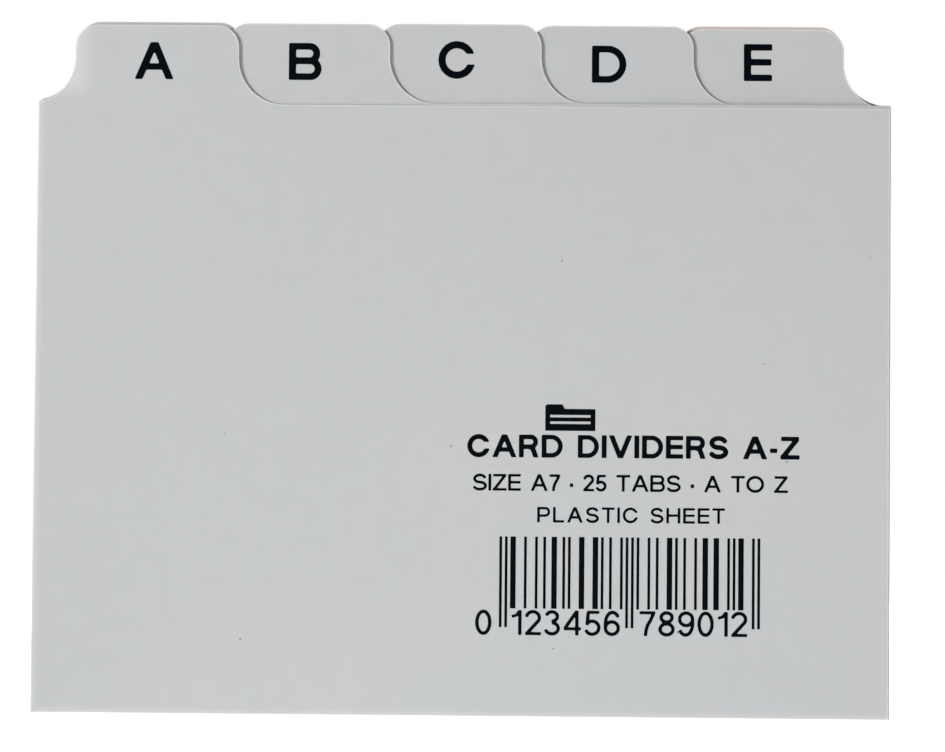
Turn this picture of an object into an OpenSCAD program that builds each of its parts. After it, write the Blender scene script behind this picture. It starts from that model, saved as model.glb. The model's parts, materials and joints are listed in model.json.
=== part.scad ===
// A to Z set of 25 plastic card-index dividers, A7 landscape, standing as a squared-up pack.
// Origin: middle of the pack on the surface it stands on. The index tabs point to +Z and
// the front divider, letter A, faces -Y. +X is to the right of somebody reading the tabs.

/* [Leaf] */
// Width of a divider
leaf_w = 105; // [95:1:150]
// Height of the shortest divider from its bottom edge to the shoulder beside its tab
leaf_h = 75; // [50:1:150]
// Thickness of the plastic sheet
sheet_t = 0.3; // [0.2:0.05:0.6]

/* [Index tabs] */
// Number of tab positions side by side, before the next row starts again at the left
tab_positions = 5; // [3:1:8]
// Width of a tab between its straight sides
tab_w = 20.2; // [12:0.1:24]
// Height of a tab above the shoulder
tab_h = 9.8; // [9.3:0.1:15]
// Distance from the divider's left edge to the first tab
margin_left = 4.5; // [2:0.1:8]
// Distance from the last tab to the divider's right edge
margin_right = 5.7; // [2:0.1:8]
// Radius of a tab's rounded top corners
corner_r = 2.7; // [1:0.1:3.5]
// Radius of the hollow sweep from a tab's side into the shoulder
sweep_r = 5.7; // [3:0.1:5.7]

/* [Pack] */
// Clear gap between one divider and the next
leaf_gap = 0.1; // [0.05:0.01:0.5]
// Furthest that a divider stands out sideways from the middle of the pack
jog = 0.1; // [0:0.01:1]
// How much taller the tallest divider is than the shortest
height_spread = 0.75; // [0:0.05:1]

/* [Hidden] */
$fn = 96;
leaf_colour = "#c6c8c7";
leaf_count = 25;
// A loose pack is scattered a little. A rule is [step, growth, places]: divider number i stands step
// plus i times growth places on from the one in front of it, and the places are counted round and round.
jog_rule = [3, 1, 4];
height_rule = [8, 12, 15];

leaf_pitch = sheet_t + leaf_gap;
pack_depth = leaf_count * sheet_t + (leaf_count - 1) * leaf_gap;
tab_pitch = (leaf_w - margin_left - margin_right - tab_w) / (tab_positions - 1);

// Left side of the tab on divider number i, from the divider's own left edge
function tab_x(i) = margin_left + (i % tab_positions) * tab_pitch;

// Back face of divider number i, counted from the front of the pack
function back_y(i) = -pack_depth / 2 + i * leaf_pitch + sheet_t;

// Place of divider number i by a scatter rule
function place(i, rule) = (i * rule[0] + i * (i + 1) / 2 * rule[1]) % rule[2];

// The same as a share, from 0 to 1 for the furthest place that any divider takes
function scatter(i, rule) = place(i, rule) / max([for (k = [0:leaf_count - 1]) place(k, rule)]);

// Sideways place of divider number i, from -jog to +jog
function jog_x(i) = jog * (2 * scatter(i, jog_rule) - 1);

// Height of divider number i up to its shoulder. The front divider is one of the shortest.
function shoulder_z(i) = leaf_h + height_spread * scatter(i, height_rule);

// A tab with straight sides and two rounded top corners, its lower left corner at the origin
module tab_outline() {
    square([tab_w, tab_h - corner_r]);
    translate([corner_r, 0]) square([tab_w - 2 * corner_r, tab_h]);
    for (x = [corner_r, tab_w - corner_r])
        translate([x, tab_h - corner_r]) circle(r = corner_r);
}

// The foot of a tab, which sweeps out into the shoulder in a hollow quarter round on each side
module tab_foot() {
    difference() {
        translate([-sweep_r, 0]) square([tab_w + 2 * sweep_r, sweep_r]);
        for (x = [-sweep_r, tab_w + sweep_r])
            translate([x, sweep_r]) circle(r = sweep_r);
    }
}

// The whole die-cut outline of divider number i. The leaf's sides cut off the outermost sweeps.
module leaf_outline(i) {
    intersection() {
        union() {
            square([leaf_w, shoulder_z(i)]);
            translate([tab_x(i), shoulder_z(i)]) tab_outline();
            translate([tab_x(i), shoulder_z(i)]) tab_foot();
        }
        square([leaf_w, shoulder_z(i) + tab_h]);
    }
}

// Divider number i as one flat sheet, standing in its place in the pack
module leaf(i) {
    color(leaf_colour)
        translate([jog_x(i) - leaf_w / 2, back_y(i), 0])
            rotate([90, 0, 0])
                linear_extrude(height = sheet_t)
                    leaf_outline(i);
}

// First row of five tabs, from left to right
module divider_a() { leaf(0); }
module divider_b() { leaf(1); }
module divider_c() { leaf(2); }
module divider_d() { leaf(3); }
module divider_e() { leaf(4); }

// Second row of five tabs, from left to right
module divider_f() { leaf(5); }
module divider_g() { leaf(6); }
module divider_h() { leaf(7); }
module divider_i() { leaf(8); }
module divider_j() { leaf(9); }

// Third row of five tabs, from left to right
module divider_k() { leaf(10); }
module divider_l() { leaf(11); }
module divider_m() { leaf(12); }
module divider_n() { leaf(13); }
module divider_o() { leaf(14); }

// Fourth row of five tabs, from left to right
module divider_p() { leaf(15); }
module divider_q() { leaf(16); }
module divider_r() { leaf(17); }
module divider_s() { leaf(18); }
module divider_t() { leaf(19); }

// Fifth row of five tabs, from left to right
module divider_u() { leaf(20); }
module divider_v() { leaf(21); }
module divider_w() { leaf(22); }
module divider_xy() { leaf(23); }
module divider_z() { leaf(24); }

divider_a();
divider_b();
divider_c();
divider_d();
divider_e();
divider_f();
divider_g();
divider_h();
divider_i();
divider_j();
divider_k();
divider_l();
divider_m();
divider_n();
divider_o();
divider_p();
divider_q();
divider_r();
divider_s();
divider_t();
divider_u();
divider_v();
divider_w();
divider_xy();
divider_z();
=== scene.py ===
"""Looks for the A to Z set of plastic card-index dividers.

The 25 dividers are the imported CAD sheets. Here they get die-cut edges, their matt plastic and their
printing: an index letter on every tab, and a generic print block on the front divider. Every printed
character is drawn from strokes by this script, and is a thin solid of ink on the sheet's front face.
Sizes are in millimetres and turned into Blender's metres where a mesh, a light or the camera is made.
"""
import json
import math

import bpy
import numpy as np
from mathutils import Matrix, Vector


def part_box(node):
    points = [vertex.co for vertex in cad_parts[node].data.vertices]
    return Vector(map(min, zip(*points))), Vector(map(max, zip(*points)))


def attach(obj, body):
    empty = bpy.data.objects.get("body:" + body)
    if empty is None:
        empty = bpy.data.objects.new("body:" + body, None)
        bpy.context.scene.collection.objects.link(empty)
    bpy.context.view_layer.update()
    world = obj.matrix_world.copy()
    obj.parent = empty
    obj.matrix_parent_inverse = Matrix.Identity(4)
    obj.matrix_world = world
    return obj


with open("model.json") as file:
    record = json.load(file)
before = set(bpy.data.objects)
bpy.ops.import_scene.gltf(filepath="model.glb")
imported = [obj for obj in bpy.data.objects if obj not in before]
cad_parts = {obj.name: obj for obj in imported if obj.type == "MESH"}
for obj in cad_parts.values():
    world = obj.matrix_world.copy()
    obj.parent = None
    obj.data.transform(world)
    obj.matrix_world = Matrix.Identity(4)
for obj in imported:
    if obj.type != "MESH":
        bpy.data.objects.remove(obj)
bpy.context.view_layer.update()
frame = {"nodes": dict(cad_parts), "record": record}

MM = 0.001
DIVIDERS = [part["node"] for part in frame["record"]["subparts"]]
FRONT = DIVIDERS[0]

# Index letters: height, stroke width as a share of the height, distance below the top of the tab, and
# distance to the right of the middle of the tab
LETTER_CAP = 4.6
LETTER_STROKE = 0.195
LETTER_DROP = 2.15
LETTER_SHIFT = -0.38
# How far the print sits to the right of and above its usual place, on the tabs where it does
PRINT_DRIFT = {"divider_b": (0.0, -0.25), "divider_d": (0.05, -0.3), "divider_e": (-0.14, 0.33)}
# Printing ink stands on the sheet and reaches a little into it
INK_PROUD = 0.012
INK_SUNK = 0.004
# Rounding along the die-cut edges, the width of the painted highlight rim along them, and of the soft painted
# highlight bands up the left side and along the foot
EDGE_EASE = 0.035
RIM = 0.34
LEFT_BAND, FOOT_BAND = 1.1, 0.9
# The sheets behind the first row get a painted highlight band along the top of their tabs
TOP_BAND = 0.8
# A tab in the first position gets a painted highlight, paler towards its left side. The side stands
# FIRST_TAB_LEFT into the sheet, and the band fades out over SHOULDER_FADE above the shoulder.
FIRST_TAB_LEFT, FIRST_TAB_BAND = 4.5, 2.8
TAB_HEIGHT, SHOULDER_FADE = 9.8, 3.0

# ---------------------------------------------------------------- glyphs
# A glyph is drawn in units of its capital height, with its left side at x = 0 and its baseline at
# y = 0. It is a list of strokes, each a run of points with one width, and a list of boxes to cut out.
ARC_STEPS = 20
# Round letters and figures reach a little past the cap line and the baseline
OVERSHOOT = 0.012
ROUND = "CGOQSJU0235689"


def arc(cx, cy, rx, ry, start, end):
    """Points along an ellipse from one angle to another, in degrees."""
    angles = np.radians(np.linspace(start, end, ARC_STEPS + 1))
    return [(cx + rx * math.cos(a), cy + ry * math.sin(a)) for a in angles]


def bowl(left, right, low, high):
    """A line to the right, a half ellipse and a line back, as in the bowls of B, D, P and R."""
    ry = (high - low) / 2
    rx = min(ry, right - left)
    return [(left, high)] + arc(right - rx, low + ry, rx, ry, 90, -90) + [(left, low)]


def glyph(char, w):
    """(width, strokes, cuts) of one character, drawn with strokes w wide."""
    h = w / 2
    t = 0.9 * w
    top, low, mid = 1 - t / 2, t / 2, 0.51
    o = OVERSHOOT

    def stem(x):
        return ([(x, 0), (x, 1)], w)

    def bar(x0, x1, y):
        return ([(x0, y), (x1, y)], t)

    def slope(x0, y0, x1, y1):
        """A sloping stroke that runs on past both ends, for the clip at the baseline and the cap line."""
        dx, dy = (x1 - x0) * 0.2, (y1 - y0) * 0.2
        return ([(x0 - dx, y0 - dy), (x1 + dx, y1 + dy)], w)

    def ring(width):
        return (arc(width / 2, 0.5, width / 2 - h, 0.5 + o - h, 0, 360), w)

    if char == "A":
        W = 1.03
        return W, [slope(0.095, 0, W / 2, 1), slope(W - 0.095, 0, W / 2, 1), bar(0.26, W - 0.26, 0.34)], []
    if char == "B":
        W = 0.885
        upper = bowl(h, 0.845 - h, mid + 0.01, top)
        lower = bowl(h, W - h, low, mid + 0.01)
        return W, [stem(h), (upper, 0.95 * w), (lower, 0.95 * w)], []
    if char == "C":
        return 1.0, [ring(1.0)], [(0.6, 0.38, 1.2, 0.665)]
    if char == "D":
        W = 0.93
        curve = [(h, top)] + arc(0.42, 0.5, W - h - 0.42, top - 0.5, 90, -90) + [(h, low)]
        return W, [stem(h), (curve, 0.95 * w)], []
    if char == "E":
        return 0.76, [stem(h), bar(h, 0.76, top), bar(h, 0.74, mid), bar(h, 0.76, low)], []
    if char == "F":
        return 0.72, [stem(h), bar(h, 0.72, top), bar(h, 0.67, mid)], []
    if char == "G":
        W = 1.04
        spur = ([(W - h, 0.44 + t / 2), (W - h, 0)], w)
        return W, [ring(W), bar(0.56, W - h, 0.44), spur], [(0.62, 0.53, 1.2, 0.68)]
    if char == "H":
        return 0.9, [stem(h), stem(0.9 - h), bar(h, 0.9 - h, mid)], []
    if char == "I":
        return w, [stem(h)], []
    if char == "J":
        W = 0.66
        hook = [(W - h, 1)] + arc(W / 2, 0.3, W / 2 - h, 0.3 + o - h, 0, -180) + [(h, 0.36)]
        return W, [(hook, w)], []
    if char == "K":
        W = 0.93
        return W, [stem(h), slope(0.1, 0.36, W - 0.13, 1), slope(0.36, 0.61, W - 0.1, 0)], [(-1, -1, 0, 2)]
    if char == "L":
        return 0.72, [stem(h), bar(h, 0.72, low)], []
    if char == "M":
        W = 1.08
        return W, [stem(h), stem(W - h), slope(0.1, 1, W / 2, 0), slope(W - 0.1, 1, W / 2, 0)], []
    if char == "N":
        W = 0.9
        return W, [stem(h), stem(W - h), slope(0.09, 1, W - 0.09, 0)], [(-1, -1, 0, 2), (W, -1, W + 1, 2)]
    if char == "O":
        return 1.07, [ring(1.07)], []
    if char in "PR":
        W = 0.84 if char == "P" else 0.88
        foot = 0.44 if char == "P" else 0.47
        leg = [] if char == "P" else [([(0.48, 0.45), (0.6, 0.42), (0.79, -0.1)], w)]
        return W, [stem(h), (bowl(h, 0.84 - h, foot, top), 0.95 * w)] + leg, []
    if char == "Q":
        return 1.07, [ring(1.07), ([(0.63, 0.3), (1.02, -0.02)], w)], []
    if char == "S":
        W = 0.86
        r = (0.5 + o - h) / 2
        upper = arc(W / 2, 0.5 + r, W / 2 - h - 0.03, r, 12, 270)
        lower = arc(W / 2, 0.5 - r, W / 2 - h, r, 90, -168)
        return W, [(upper + lower[1:], w)], []
    if char == "T":
        return 0.82, [bar(0, 0.82, top), stem(0.41)], []
    if char == "U":
        W = 0.9
        cup = arc(W / 2, 0.37, W / 2 - h, 0.37 + o - h, 180, 360)
        return W, [([(h, 1)] + cup + [(W - h, 1)], w)], []
    if char == "V":
        return 0.98, [slope(0.09, 1, 0.49, 0), slope(0.89, 1, 0.49, 0)], []
    if char == "W":
        legs = [(0.08, 0.36), (0.68, 0.36), (0.68, 1.0), (1.28, 1.0)]
        return 1.36, [slope(x0, 1, x1, 0) for x0, x1 in legs], []
    if char == "X":
        return 0.95, [slope(0.1, 0, 0.84, 1), slope(0.11, 1, 0.85, 0)], []
    if char == "Y":
        foot = ([(0.48, 0), (0.48, 0.45)], w)
        return 0.96, [slope(0.1, 1, 0.48, 0.42), slope(0.86, 1, 0.48, 0.42), foot], []
    if char == "Z":
        return 0.84, [bar(0.03, 0.81, top), bar(0, 0.84, low), ([(0.1, low), (0.74, top)], w)], []
    if char == "0":
        return 0.66, [ring(0.66)], []
    if char == "1":
        return 0.44, [stem(0.44 - h), ([(0.04, 0.74), (0.22, 0.79), (0.44 - h, 0.99)], 0.85 * w)], []
    if char == "2":
        hook = arc(0.33, 0.7, 0.33 - h, 0.3 + o - h, 170, -30) + [(0.1, 0.02 + low)]
        return 0.66, [(hook, w), bar(0.02, 0.66, low)], []
    if char == "3":
        upper = arc(0.31, 0.755, 0.29 - h, 0.245 + o - h, 165, -90)
        lower = arc(0.31, 0.28, 0.33 - h, 0.28 + o - h, 90, -165)
        return 0.66, [(upper, w), (lower, w)], []
    if char == "4":
        return 0.7, [([(0.53, 0), (0.53, 1)], w), ([(0.53, 0.98), (0.06, 0.3)], w), bar(0.0, 0.7, 0.27)], []
    if char == "5":
        curve = [(0.1, 0.46)] + arc(0.32, 0.32, 0.34 - h, 0.32 + o - h, 125, -160)
        return 0.66, [(curve, w), ([(0.12, 0.42), (0.16, top)], w), bar(0.12, 0.61, top)], []
    if char in "69":
        loop = (arc(0.33, 0.31, 0.33 - h, 0.31 + o - h, 0, 360), w)
        back = (arc(0.35, 0.5, 0.35 - h, 0.5 + o - h, 180, 35), w)
        side = ([(h, 0.31), (h, 0.52)], w)
        strokes = [loop, back, side]
        if char == "9":
            strokes = [([(0.66 - x, 1 - y) for x, y in points], width) for points, width in strokes]
        return 0.66, strokes, []
    if char == "7":
        back = [(0.58, top)] + arc(0.75, 0, 0.5, 0.78, 130, 180) + [(0.25, 0)]
        return 0.64, [bar(0, 0.64, top), (back, w)], []
    if char == "8":
        upper = (arc(0.33, 0.755, 0.29 - h, 0.245 + o - h, 0, 360), w)
        lower = (arc(0.33, 0.28, 0.33 - h, 0.28 + o - h, 0, 360), w)
        return 0.66, [upper, lower], []
    if char == ".":
        return 0.2, [([(0.1 - 0.6 * w, 0.36), (0.1 + 0.6 * w, 0.36)], 1.3 * w)], []
    if char == "-":
        return 0.36, [bar(0.02, 0.34, 0.38)], []
    return 0.42, [], []


# Cells of the outline grid to the capital height, the margin round a glyph, and passes of softening
SAMPLE = 90
MARGIN = 0.24
INK_SPREAD = 5
FAR = 9.0


def field(strokes, cuts, width, clip):
    """Signed distance to a glyph's ink on a grid, negative inside: (values, x of column 0, y of row 0)."""
    cell = 1 / SAMPLE
    xs = np.arange(-MARGIN, width + MARGIN, cell)
    ys = np.arange(-MARGIN, 1 + MARGIN, cell)
    gx, gy = np.meshgrid(xs, ys, indexing="ij")
    ink = np.full(gx.shape, FAR)
    for points, w in strokes:
        points = np.array(points, float)
        for a, b in zip(points[:-1], points[1:]):
            run = b - a
            length = math.hypot(*run)
            along = ((gx - a[0]) * run[0] + (gy - a[1]) * run[1]) / length
            across = ((gx - a[0]) * run[1] - (gy - a[1]) * run[0]) / length
            ink = np.minimum(ink, np.maximum(abs(across) - w / 2, abs(along - length / 2) - length / 2))
        for x, y in points[1:-1]:
            ink = np.minimum(ink, np.hypot(gx - x, gy - y) - w / 2)
    for x0, y0, x1, y1 in cuts:
        box = np.maximum(abs(gx - (x0 + x1) / 2) - (x1 - x0) / 2, abs(gy - (y0 + y1) / 2) - (y1 - y0) / 2)
        ink = np.maximum(ink, -box)
    low, high = clip
    return np.maximum(ink, np.maximum(low - gy, gy - high)), xs[0], ys[0]


def soften(values, passes):
    """Rounds the corners a little, as wet ink does."""
    for _ in range(passes):
        for axis in (0, 1):
            values = (np.roll(values, 1, axis) + 2 * values + np.roll(values, -1, axis)) / 4
    return values


def outlines(values, x0, y0):
    """Closed loops where the values cross zero, by marching squares."""
    inside = values < 0
    corners = ((0, 0), (1, 0), (1, 1), (0, 1))
    follow = {}
    crossed = inside[:-1, :-1].astype(int) + inside[1:, :-1] + inside[1:, 1:] + inside[:-1, 1:]
    for i, j in np.argwhere((crossed > 0) & (crossed < 4)):
        exits, entries = [], []
        for k in range(4):
            (ax, ay), (bx, by) = corners[k], corners[(k + 1) % 4]
            a, b = (i + ax, j + ay), (i + bx, j + by)
            if inside[a] and not inside[b]:
                exits.append((k, (min(a, b), max(a, b))))
            elif inside[b] and not inside[a]:
                entries.append((k, (min(a, b), max(a, b))))
        for k, edge in exits:
            follow[edge] = min(entries, key=lambda e: (e[0] - k) % 4)[1]
    loops = []
    while follow:
        start = edge = next(iter(follow))
        loop = []
        while edge in follow:
            a, b = edge
            share = values[a] / (values[a] - values[b])
            x, y = a[0] + share * (b[0] - a[0]), a[1] + share * (b[1] - a[1])
            loop.append((x0 + x / SAMPLE, y0 + y / SAMPLE))
            edge = follow.pop(edge)
        if edge == start and len(loop) > 5:
            loops.append(thin_out(loop))
    return loops


def thin_out(loop, tolerance=0.0006):
    """Leaves out the points that lie on the line between their neighbours."""
    for _ in range(4):
        kept, skipped = [], False
        for before, point, after in zip(loop[-1:] + loop[:-1], loop, loop[1:] + loop[:1]):
            dx, dy = after[0] - before[0], after[1] - before[1]
            across = abs((point[0] - before[0]) * dy - (point[1] - before[1]) * dx)
            if across < tolerance * max(math.hypot(dx, dy), 1e-9) and not skipped:
                skipped = True
            else:
                kept.append(point)
                skipped = False
        loop = kept
    return loop


glyph_cache = {}


def glyph_loops(char, w):
    """(width, outline loops) of one character."""
    if (char, w) not in glyph_cache:
        width, strokes, cuts = glyph(char, w)
        loops = []
        if strokes:
            clip = (-0.02, 1.02) if char in ROUND else (0, 1)
            values, x0, y0 = field(strokes, cuts, width, clip)
            loops = outlines(soften(values, INK_SPREAD), x0, y0)
        glyph_cache[char, w] = (width, loops)
    return glyph_cache[char, w]


def text_loops(text, cap, w, left, base, right=None, gap=0.22):
    """Outline loops in mm of a line of text. With a right end given, the gaps stretch to fill it."""
    parts = [glyph_loops(c, w) for c in text]
    if right is not None:
        inked = sum(width for width, _ in parts) * cap
        gap = (right - left - inked) / (len(text) - 1) / cap
    loops, x = [], left
    for width, shapes in parts:
        loops += [[(x + px * cap, base + py * cap) for px, py in loop] for loop in shapes]
        x += (width + gap) * cap
    return loops, x - gap * cap - left


# ---------------------------------------------------------------- ink pieces
def ink_piece(name, loops, divider, material):
    """Loops in mm, measured from the divider's lower left corner, become a thin solid on its front face."""
    curve = bpy.data.curves.new(name + "_outline", "CURVE")
    curve.dimensions = "2D"
    curve.fill_mode = "BOTH"
    curve.extrude = (INK_PROUD + INK_SUNK) / 2
    for loop in loops:
        spline = curve.splines.new("POLY")
        spline.points.add(len(loop) - 1)
        spline.points.foreach_set("co", [c for x, y in loop for c in (x, y, 0, 1)])
        spline.use_cyclic_u = True
    drawn = bpy.data.objects.new(name + "_outline", curve)
    mesh = bpy.data.meshes.new_from_object(drawn)
    bpy.data.objects.remove(drawn)
    lowest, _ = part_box(divider)
    upright = Matrix.Rotation(math.radians(90), 4, "X")
    place = Matrix.Translation(lowest + Vector((0, (INK_SUNK - INK_PROUD) / 2 * MM, 0)))
    mesh.transform(place @ Matrix.Scale(MM, 4) @ upright)
    mesh.name = name
    mesh.materials.clear()
    mesh.materials.append(material)
    piece = bpy.data.objects.new(name, mesh)
    bpy.context.scene.collection.objects.link(piece)
    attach(piece, divider)
    return piece


# ---------------------------------------------------------------- materials
def srgb(r, g, b):
    """Linear colour of an 8-bit sRGB colour."""
    return tuple(((c / 255 + 0.055) / 1.055) ** 2.4 for c in (r, g, b)) + (1,)


class Nodes:
    """Short ways to add and join shader nodes."""

    def __init__(self, name):
        self.material = bpy.data.materials.new(name)
        self.material.use_nodes = True
        self.tree = self.material.node_tree
        self.shader = self.tree.nodes["Principled BSDF"]

    def put(self, socket, value):
        if isinstance(value, bpy.types.NodeSocket):
            self.tree.links.new(value, socket)
        else:
            socket.default_value = value

    def node(self, kind, settings=(), **inputs):
        made = self.tree.nodes.new(kind)
        for key, value in dict(settings).items():
            setattr(made, key, value)
        for key, value in inputs.items():
            self.put(made.inputs[key.replace("_", " ")], value)
        return made

    def math(self, operation, a, b=0.0, c=0.0):
        made = self.tree.nodes.new("ShaderNodeMath")
        made.operation = operation
        for socket, value in zip(made.inputs, (a, b, c)):
            self.put(socket, value)
        return made.outputs[0]

    def ramp(self, value, low, high, to_low=0.0, to_high=1.0):
        made = self.node("ShaderNodeMapRange", {"interpolation_type": "SMOOTHSTEP"}, Value=value)
        for key, number in zip(("From Min", "From Max", "To Min", "To Max"), (low, high, to_low, to_high)):
            made.inputs[key].default_value = number
        return made.outputs["Result"]

    def mix(self, factor, a, b):
        made = self.tree.nodes.new("ShaderNodeMix")
        made.data_type = "RGBA"
        self.put(made.inputs["Factor"], factor)
        self.put(made.inputs["A"], a)
        self.put(made.inputs["B"], b)
        return made.outputs["Result"]

    def noise(self, vector, scale, detail=2.0, roughness=0.5):
        made = self.node("ShaderNodeTexNoise", Vector=vector, Scale=scale, Detail=detail, Roughness=roughness)
        return made.outputs["Fac"]


FACE = srgb(199, 201, 200)
FACE_COOL = srgb(196, 198, 203)
FACE_DARK = srgb(190, 192, 190)
# Painted highlight colour for the edges and bands, paler than the face, and warmer on the sheets of the last
# tab position
PAINTED_HIGHLIGHT = srgb(228, 228, 226)
PAINTED_HIGHLIGHT_WARM = srgb(240, 229, 224)
SPECK = srgb(70, 74, 74)
TAB_POSITIONS = 5
# How much of the painted highlight colour shows in the rim and in the bands
RIM_SHARE, BAND_SHARE, FIRST_TAB_SHARE = 0.7, 0.3, 0.42
# How much painted highlight shows in the band along the top of the tabs, on most sheets and on those of the
# last tab position
TOP_SHARE, TOP_SHARE_WARM = 0.2, 0.85


def painted_highlights(n, colour, place, seed, node):
    """Mixes painted highlights into a sheet's colour: a rim along the cut, wider on the flanks, and soft
    bands.
    """
    warm = seed % TAB_POSITIONS == TAB_POSITIONS - 1
    # The painted highlight colour of this sheet
    edge = PAINTED_HIGHLIGHT_WARM if warm else PAINTED_HIGHLIGHT
    # Painted highlight rim: thin along every cut edge, wider where the edge faces sideways, as on the tab
    # flanks
    eased = n.node("ShaderNodeBevel", {"samples": 8}, Radius=RIM * MM)
    facing = n.node("ShaderNodeVectorMath", {"operation": "DOT_PRODUCT"})
    n.put(facing.inputs[0], eased.outputs["Normal"])
    n.put(facing.inputs[1], n.node("ShaderNodeNewGeometry").outputs["True Normal"])
    thin = n.ramp(facing.outputs["Value"], 0.9995, 0.965)
    sideways = n.node("ShaderNodeSeparateXYZ", Vector=eased.outputs["Normal"]).outputs["X"]
    rim = n.math("MAXIMUM", thin, n.ramp(n.math("ABSOLUTE", sideways), 0.02, 0.1))
    colour = n.mix(n.math("MULTIPLY", rim, RIM_SHARE), colour, edge)

    lowest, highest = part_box(node)
    where = n.node("ShaderNodeSeparateXYZ", Vector=place.outputs["Object"])
    across, up = where.outputs["X"], where.outputs["Z"]
    # Painted highlight bands up the left side and along the foot of the sheet
    left = n.ramp(across, lowest.x, lowest.x + LEFT_BAND * MM, BAND_SHARE, 0.0)
    foot = n.ramp(up, lowest.z, lowest.z + FOOT_BAND * MM, BAND_SHARE, 0.0)
    colour = n.mix(n.math("MAXIMUM", left, foot), colour, edge)
    # Painted highlight on a first-position tab, paler towards its left side
    if seed % TAB_POSITIONS == 0:
        side = lowest.x + FIRST_TAB_LEFT * MM
        shoulder = highest.z - TAB_HEIGHT * MM
        paler = n.ramp(across, side, side + FIRST_TAB_BAND * MM, FIRST_TAB_SHARE, 0.0)
        above = n.ramp(up, shoulder, shoulder + SHOULDER_FADE * MM)
        colour = n.mix(n.math("MULTIPLY", paler, above), colour, edge)
    # Painted highlight band along the top of the tab, strong and warm on the last tab position
    if seed >= TAB_POSITIONS:
        share = TOP_SHARE_WARM if warm else TOP_SHARE
        band_foot, band_full = highest.z - TOP_BAND * MM, highest.z - 0.3 * TOP_BAND * MM
        colour = n.mix(n.ramp(up, band_foot, band_full, 0.0, share), colour, edge)
    return colour


def plastic(name, seed, node):
    """Light-grey matt sheet: fine emboss, faint clouding, a few dark specks, and painted highlights along the
    cut edges and in bands.
    """
    n = Nodes(name)
    place = n.node("ShaderNodeTexCoord")
    in_mm = n.node("ShaderNodeVectorMath", {"operation": "MULTIPLY_ADD"})
    n.put(in_mm.inputs[0], place.outputs["Object"])
    in_mm.inputs[1].default_value = (1000, 1000, 1000)
    in_mm.inputs[2].default_value = (seed * 17.3, seed * 5.1, seed * 11.7)
    point = in_mm.outputs[0]
    split = n.node("ShaderNodeSeparateXYZ", Vector=point)
    flat = n.node("ShaderNodeCombineXYZ", X=split.outputs["X"], Y=split.outputs["Z"]).outputs[0]

    clouds = n.ramp(n.noise(point, 0.045, 3.0), 0.35, 0.65)
    patches = n.ramp(n.noise(point, 0.4, 2.0), 0.4, 0.75)
    grain = n.noise(point, 5.5, 2.0, 0.6)
    colour = n.mix(n.math("MULTIPLY", clouds, 0.55), FACE, FACE_COOL)
    colour = n.mix(n.math("MULTIPLY", patches, 0.16), colour, FACE_DARK)
    colour = n.mix(n.ramp(grain, 0.35, 0.75, 0.0, 0.2), colour, FACE_DARK)

    speck = n.node("ShaderNodeTexVoronoi", {"voronoi_dimensions": "2D"}, Vector=flat, Scale=0.075)
    chance = n.node("ShaderNodeSeparateColor", Color=speck.outputs["Color"]).outputs[0]
    size = n.ramp(chance, 0.45, 1.0, 0.0, 0.011)
    spot = n.math("LESS_THAN", speck.outputs["Distance"], size)
    colour = n.mix(n.math("MULTIPLY", spot, 0.55), colour, SPECK)
    colour = painted_highlights(n, colour, place, seed, node)
    n.put(n.shader.inputs["Base Color"], colour)

    rough = n.math("MULTIPLY_ADD", grain, 0.16, 0.44)
    n.put(n.shader.inputs["Roughness"], rough)
    n.shader.inputs["IOR"].default_value = 1.49
    n.shader.inputs["Specular IOR Level"].default_value = 0.42

    emboss = n.noise(point, 3.2, 3.0, 0.55)
    bumps = n.node("ShaderNodeBump", Strength=0.35, Distance=0.02 * MM, Height=emboss)
    n.put(n.shader.inputs["Normal"], bumps.outputs["Normal"])
    return n.material


def ink(name):
    """Near-black screen ink: a satin skin with faint unevenness and a few pinholes."""
    n = Nodes(name)
    place = n.node("ShaderNodeTexCoord")
    in_mm = n.node("ShaderNodeVectorMath", {"operation": "SCALE"}, Scale=1000.0)
    n.put(in_mm.inputs[0], place.outputs["Object"])
    point = in_mm.outputs[0]
    cover = n.noise(point, 2.2, 3.0)
    colour = n.mix(n.ramp(cover, 0.4, 0.75), srgb(3, 8, 14), srgb(6, 11, 18))
    pinholes = n.ramp(n.noise(point, 9.0, 1.0), 0.78, 0.84)
    colour = n.mix(n.math("MULTIPLY", pinholes, 0.35), colour, srgb(60, 66, 68))
    n.put(n.shader.inputs["Base Color"], colour)
    n.put(n.shader.inputs["Roughness"], n.math("MULTIPLY_ADD", cover, 0.2, 0.42))
    n.shader.inputs["Specular IOR Level"].default_value = 0.03
    bumps = n.node("ShaderNodeBump", Strength=0.3, Distance=0.004 * MM, Height=n.noise(point, 7.0, 2.0))
    n.put(n.shader.inputs["Normal"], bumps.outputs["Normal"])
    return n.material


# ---------------------------------------------------------------- dividers
def finish_sheet(node, material):
    """A CAD sheet keeps its mesh. Modifiers weld its tessellation and ease its die-cut edges."""
    sheet = frame["nodes"][node]
    weld = sheet.modifiers.new("weld", "WELD")
    weld.merge_threshold = 0.001 * MM
    edge = sheet.modifiers.new("die_cut_edge", "BEVEL")
    edge.width = EDGE_EASE * MM
    edge.segments = 3
    edge.limit_method = "ANGLE"
    edge.angle_limit = math.radians(50)
    edge.use_clamp_overlap = False
    edge.harden_normals = True
    sheet.data.materials.clear()
    sheet.data.materials.append(material)


ink_material = ink("index_ink")
for number, node in enumerate(DIVIDERS):
    finish_sheet(node, plastic("sheet_plastic_" + str(number + 1), number, node))


def tab_middle(node):
    """Middle of a divider's tab in mm from the divider's left side, from the flat top of its outline."""
    lowest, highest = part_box(node)
    top = [v.co.x for v in frame["nodes"][node].data.vertices if v.co.z > highest.z - 0.02 * MM]
    return ((min(top) + max(top)) / 2 - lowest.x) / MM


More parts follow.
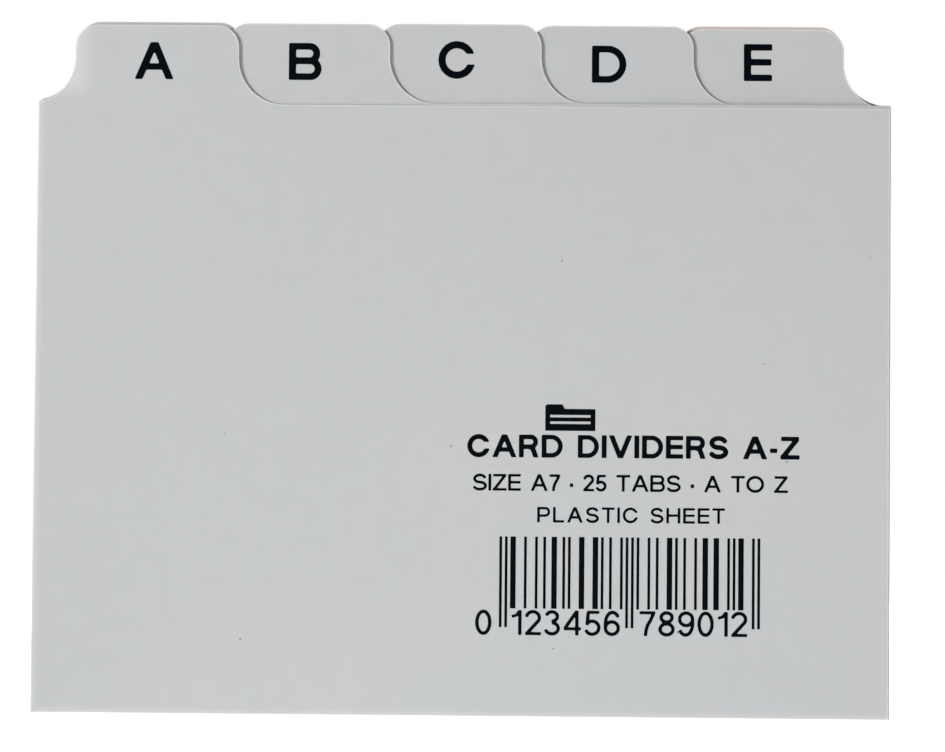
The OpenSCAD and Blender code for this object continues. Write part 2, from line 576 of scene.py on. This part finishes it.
for node in DIVIDERS:
    letters = node.split("_")[1].upper()
    lowest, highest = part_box(node)
    across, up = PRINT_DRIFT.get(node, (0.0, 0.0))
    base = (highest.z - lowest.z) / MM - LETTER_DROP - LETTER_CAP + up
    centre = tab_middle(node) + LETTER_SHIFT + across
    _, long = text_loops(letters, LETTER_CAP, LETTER_STROKE, 0, base)
    loops, _ = text_loops(letters, LETTER_CAP, LETTER_STROKE, centre - long / 2, base)
    ink_piece("letter_" + letters.lower(), loops, node, ink_material)

# ---------------------------------------------------------------- print block on the front divider
# Each line: its left and right ends, baseline, capital height and stroke, in mm from the sheet's corner
LINES = [
    ("print_title", "CARD DIVIDERS A-Z", 53.3, 94.05, 31.7, 2.8, 0.215),
    ("print_format", "SIZE A7 . 25 TABS . A TO Z", 54.0, 92.65, 27.6, 2.05, 0.17),
    ("print_material", "PLASTIC SHEET", 61.95, 84.95, 23.75, 1.9, 0.17),
]
for name, text, left, right, base, cap, stroke in LINES:
    loops, _ = text_loops(text, cap, stroke, left, base, right)
    ink_piece(name, loops, FRONT, ink_material)

# Placeholder bars in the place of a bar code. They follow a plain rule and hold no number: a pair of
# long bars at each end and in the middle, and between them groups of two bars, seven modules wide.
# The groups on the right mirror those on the left.
BARS_LEFT, MODULE = 57.35, 0.3362
BARS_TOP, BARS_FOOT, LONG_FOOT = 22.0, 13.2, 10.9
LONG_BARS = (0, 2, 46, 48, 92, 94)
LEFT_HALF, RIGHT_HALF = 3, 50
GROUPS, GROUP_MODULES = 6, 7
bars = [(position, 1, LONG_FOOT) for position in LONG_BARS]
for start in (LEFT_HALF, RIGHT_HALF):
    for group in range(GROUPS):
        turn = group + start
        space = 1 + turn * 2 % 3
        first = 1 + turn % 2
        second = 2 if space == first == 1 else 1
        at = start + group * GROUP_MODULES
        for offset, wide in ((space, first), (GROUP_MODULES - second, second)):
            if start == RIGHT_HALF:
                offset = GROUP_MODULES - offset - wide
            bars.append((at + offset, wide, BARS_FOOT))
loops = []
for position, wide, foot in bars:
    x = BARS_LEFT + position * MODULE
    loops.append([(x, foot), (x + wide * MODULE, foot), (x + wide * MODULE, BARS_TOP), (x, BARS_TOP)])
ink_piece("print_bars", loops, FRONT, ink_material)

# Placeholder digits under the bars: a first one on its own and two groups between their ends
DIGIT_CAP, DIGIT_BASE, DIGIT_STROKE = 3.05, 9.95, 0.14
DIGIT_GROUPS = [("0", 54.45, None), ("123456", 58.8, 72.2), ("789012", 74.55, 87.75)]
loops = []
for digits, left, right in DIGIT_GROUPS:
    loops += text_loops(digits, DIGIT_CAP, DIGIT_STROKE, left, DIGIT_BASE, right)[0]
ink_piece("print_digits", loops, FRONT, ink_material)

# A plain pictogram: one tabbed card, and the two ruled lines that are left blank in it
CARD_LEFT, CARD_RIGHT, CARD_FOOT, CARD_TOP = 62.85, 69.0, 35.0, 37.7
CARD_TAB_TOP, CARD_TAB_W, CARD_TAB_SLANT, CARD_CORNER = 38.25, 2.4, 0.3, 0.2
RULED_FEET, RULED_W, RULED_MARGIN = (35.85, 36.65), 0.3, 0.6
card = [(CARD_LEFT, CARD_FOOT), (CARD_RIGHT, CARD_FOOT), (CARD_RIGHT, CARD_TOP)]
card += [(CARD_LEFT + CARD_TAB_W, CARD_TOP), (CARD_LEFT + CARD_TAB_W - CARD_TAB_SLANT, CARD_TAB_TOP)]
card += [(CARD_LEFT + CARD_CORNER, CARD_TAB_TOP), (CARD_LEFT, CARD_TAB_TOP - CARD_CORNER)]
loops = [card]
for z in RULED_FEET:
    x0, x1 = CARD_LEFT + RULED_MARGIN, CARD_RIGHT - RULED_MARGIN
    loops.append([(x0, z), (x1, z), (x1, z + RULED_W), (x0, z + RULED_W)])
ink_piece("print_pictogram", loops, FRONT, ink_material)

# ---------------------------------------------------------------- floor, light and camera
# Glow of the floor and of the world: what they light the object with, and for the floor what the camera
# sees on top of that, for the world what the camera sees instead
FLOOR_SEEN, FLOOR_GLOW = 0.8, 0.2
WORLD_SEEN, WORLD_GLOW = 1.0, 0.1
FLOOR_HALF, FLOOR_DROP = 3.0, 0.00002


def floor():
    """A pale floor. The camera sees it as white as the backdrop, and it lights the object like pale paint
    that also glows faintly.
    """
    half = FLOOR_HALF
    corners = [(-half, -half, 0), (half, -half, 0), (half, half, 0), (-half, half, 0)]
    mesh = bpy.data.meshes.new("floor")
    mesh.from_pydata(corners, [], [(0, 1, 2, 3)])
    n = Nodes("pale_floor")
    n.shader.inputs["Base Color"].default_value = (0.92, 0.92, 0.92, 1)
    n.shader.inputs["Roughness"].default_value = 0.95
    n.shader.inputs["Specular IOR Level"].default_value = 0.0
    n.shader.inputs["Emission Color"].default_value = (1, 1, 1, 1)
    seen = n.node("ShaderNodeLightPath").outputs["Is Camera Ray"]
    n.put(n.shader.inputs["Emission Strength"], n.math("MULTIPLY_ADD", seen, FLOOR_SEEN, FLOOR_GLOW))
    mesh.materials.append(n.material)
    plane = bpy.data.objects.new("floor", mesh)
    plane.location.z = -FLOOR_DROP
    bpy.context.scene.collection.objects.link(plane)


def softbox(name, place, width, height, power, target):
    """A rectangular lamp in metres and watts that faces its target and stays out of the picture."""
    light = bpy.data.lights.new(name, "AREA")
    light.shape = "RECTANGLE"
    light.size = width
    light.size_y = height
    light.energy = power
    lamp = bpy.data.objects.new(name, light)
    lamp.location = place
    lamp.visible_camera = False
    lamp.rotation_euler = (Vector(target) - Vector(place)).to_track_quat("-Z", "Y").to_euler()
    bpy.context.scene.collection.objects.link(lamp)


floor()
middle = (0.0, 0.0, 0.04)
sheet_foot = (0.0, 0.0, 0.008)
first_tab = (-0.045, 0.0, 0.08)
softbox("key_left", (-3.05, -2.63, 0.16), 1.0, 1.0, 180.5, middle)
softbox("low_front", (0.0, -0.15, 0.008), 0.15, 0.012, 0.038, sheet_foot)
softbox("tab_glow", (-0.08, -0.06, 0.12), 0.04, 0.04, 0.005, first_tab)
softbox("fill_right", (0.7, -0.7, 0.3), 0.6, 0.6, 0.25, middle)
softbox("top", (0.0, -0.1, 1.1), 0.9, 0.9, 1.2, middle)
softbox("rear", (0.3, 0.9, 0.5), 0.6, 0.6, 4.0, middle)

world = bpy.data.worlds.new("studio")
world.use_nodes = True
tree = world.node_tree
ray = tree.nodes.new("ShaderNodeLightPath")
strength = tree.nodes.new("ShaderNodeMapRange")
strength.inputs["To Min"].default_value = WORLD_GLOW
strength.inputs["To Max"].default_value = WORLD_SEEN
tree.links.new(ray.outputs["Is Camera Ray"], strength.inputs["Value"])
tree.links.new(strength.outputs["Result"], tree.nodes["Background"].inputs["Strength"])
tree.nodes["Background"].inputs["Color"].default_value = (1, 1, 1, 1)
bpy.context.scene.world = world
bpy.context.scene.view_settings.view_transform = "Standard"

# The camera aims at a point on the front divider, given from its lower left corner. SPAN is the width of
# the picture there.
DISTANCE = 0.45
AZIMUTH, ELEVATION, ROLL = 0.9, -2.8, 0.5
SPAN = 116.1 * MM
AIM_ACROSS, AIM_UP = 53.87 * MM, 41.65 * MM
front_low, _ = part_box(FRONT)
aim = Vector((front_low.x + AIM_ACROSS, front_low.y, AIM_UP))
a, e = math.radians(AZIMUTH), math.radians(ELEVATION)
away = Vector((math.sin(a) * math.cos(e), -math.cos(a) * math.cos(e), math.sin(e)))
camera = bpy.data.cameras.new("camera")
camera.sensor_width = 36
camera.lens = camera.sensor_width * DISTANCE / SPAN
camera.clip_start = 0.01
viewer = bpy.data.objects.new("camera", camera)
viewer.rotation_mode = "QUATERNION"
viewer.location = aim + away * DISTANCE
facing = (-away).to_track_quat("-Z", "Y").to_matrix() @ Matrix.Rotation(math.radians(ROLL), 3, "Z")
viewer.rotation_quaternion = facing.to_quaternion()
bpy.context.scene.collection.objects.link(viewer)
bpy.context.scene.camera = viewer
